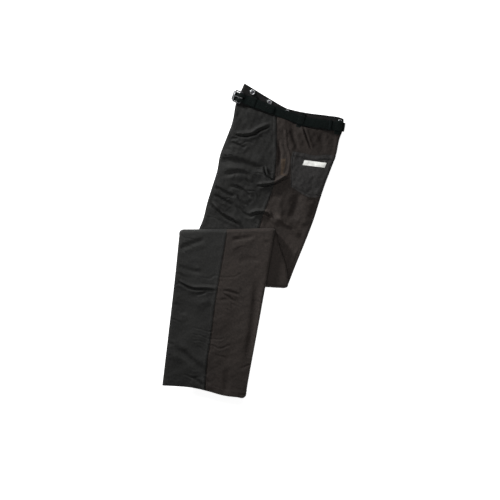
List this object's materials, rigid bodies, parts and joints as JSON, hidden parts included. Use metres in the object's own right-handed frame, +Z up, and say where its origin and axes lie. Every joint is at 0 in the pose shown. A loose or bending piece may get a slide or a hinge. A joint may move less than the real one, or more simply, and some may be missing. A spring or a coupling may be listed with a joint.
{
  "type": "skating officials' trousers",
  "caption": "Long crease-pressed ice sports trousers folded flat in three, with a belted waist, patch pockets, fly zip and brace studs.",
  "frame": {"origin": "middle of the footprint, on the surface that the garment lies on", "axes": "+Y towards the waist, +Z up from the surface, +X towards the back crease of the seat"},
  "size_m": [0.4758, 0.816, 0.0434],
  "materials": {
    "front_cloth": "matt black twill, cool",
    "back_cloth": "matt black twill, warm",
    "band_cloth": "dense black twill, faint teal",
    "lining_cloth": "plain dark lining",
    "belt_webbing": "black woven webbing",
    "woven_tag": "pale embroidered thread",
    "dark_metal": "dark plated steel",
    "bright_metal": "bright plated steel"
  },
  "bodies": {
    "trousers": {"belt_loop_back_left": "band_cloth", "belt_loop_back_right": "band_cloth", "belt_loop_front_left": "band_cloth", "belt_loop_front_right": "band_cloth", "belt_loop_side_left": "band_cloth", "belt_loop_side_right": "band_cloth", "belt_strap": "belt_webbing", "brace_stud_back_left": "bright_metal", "brace_stud_back_right": "bright_metal", "brace_stud_front_left": "bright_metal", "brace_stud_front_right": "bright_metal", "brace_stud_middle_left": "bright_metal", "brace_stud_middle_right": "bright_metal", "brace_stud_side_left": "bright_metal", "brace_stud_side_right": "bright_metal", "buckle_frame": "dark_metal", "fly_facing": "front_cloth", "fly_shield": "front_cloth", "hand_pocket_bag_left": "lining_cloth", "hand_pocket_bag_right": "lining_cloth", "hand_pocket_facing_left": "back_cloth", "hand_pocket_facing_right": "back_cloth", "left_back_thigh": "back_cloth", "left_front_thigh": "front_cloth", "pocket_tag": "woven_tag", "rear_pocket_left": "back_cloth", "rear_pocket_right": "back_cloth", "right_back_thigh": "back_cloth", "right_front_thigh": "front_cloth", "waist_bar": "bright_metal", "waist_hook": "bright_metal", "waistband_left": "band_cloth", "waistband_lining_left": "lining_cloth", "waistband_lining_right": "lining_cloth", "waistband_right": "band_cloth", "zipper_bottom_stop": "bright_metal", "zipper_tape_left": "lining_cloth", "zipper_tape_right": "lining_cloth", "zipper_teeth_left": "dark_metal", "zipper_teeth_right": "dark_metal"},
    "knee_layer": {"left_back_knee": "back_cloth", "left_front_knee": "front_cloth", "right_back_knee": "back_cloth", "right_front_knee": "front_cloth"},
    "shin_layer": {"left_back_shin": "back_cloth", "left_front_shin": "front_cloth", "right_back_shin": "back_cloth", "right_front_shin": "front_cloth"},
    "prong": {"buckle_prong": "bright_metal"},
    "roller": {"buckle_roller": "bright_metal"},
    "belt_slide_ring": {"belt_slide": "dark_metal"},
    "zip_slider": {"zipper_slider_front": "dark_metal", "zipper_slider_back": "dark_metal"},
    "zip_pull": {"zipper_pull": "bright_metal"}
  },
  "joints": [
    {"name": "knee_fold", "type": "hinge", "parent": "trousers", "child": "knee_layer", "pos_m": [0.08836, -0.11645, 0.0143], "axis": [0.9981, -0.061, 0], "range_deg": [0, 178]},
    {"name": "shin_fold", "type": "hinge", "parent": "knee_layer", "child": "shin_layer", "pos_m": [-0.07024, 0.02045, 0.0291], "axis": [-0.9995, -0.0314, 0], "range_deg": [0, 178]},
    {"name": "prong_lift", "type": "hinge", "parent": "trousers", "child": "prong", "pos_m": [-0.03234, 0.36975, 0.0273], "axis": [0.329, 0.9443, 0], "range_deg": [0, 75]},
    {"name": "roller_spin", "type": "hinge", "parent": "trousers", "child": "roller", "pos_m": [-0.05122, 0.37633, 0.0273], "axis": [0.329, 0.9443, 0], "continuous": true},
    {"name": "belt_slide_travel", "type": "slide", "parent": "trousers", "child": "belt_slide_ring", "axis": [0.9888, -0.1493, 0], "range_m": [-0.042, 0.008]},
    {"name": "zip_travel", "type": "slide", "parent": "trousers", "child": "zip_slider", "axis": [-0.2823, -0.9593, 0], "range_m": [0, 0.106]},
    {"name": "zip_pull_swing", "type": "hinge", "parent": "zip_slider", "child": "zip_pull", "pos_m": [0.02702, 0.31326, 0.0143], "axis": [0, 0, -1], "range_deg": [0, 90]}
  ],
  "couplings": [
    {"joint": "shin_fold", "follows": "knee_fold", "ratio": 1}
  ]
}
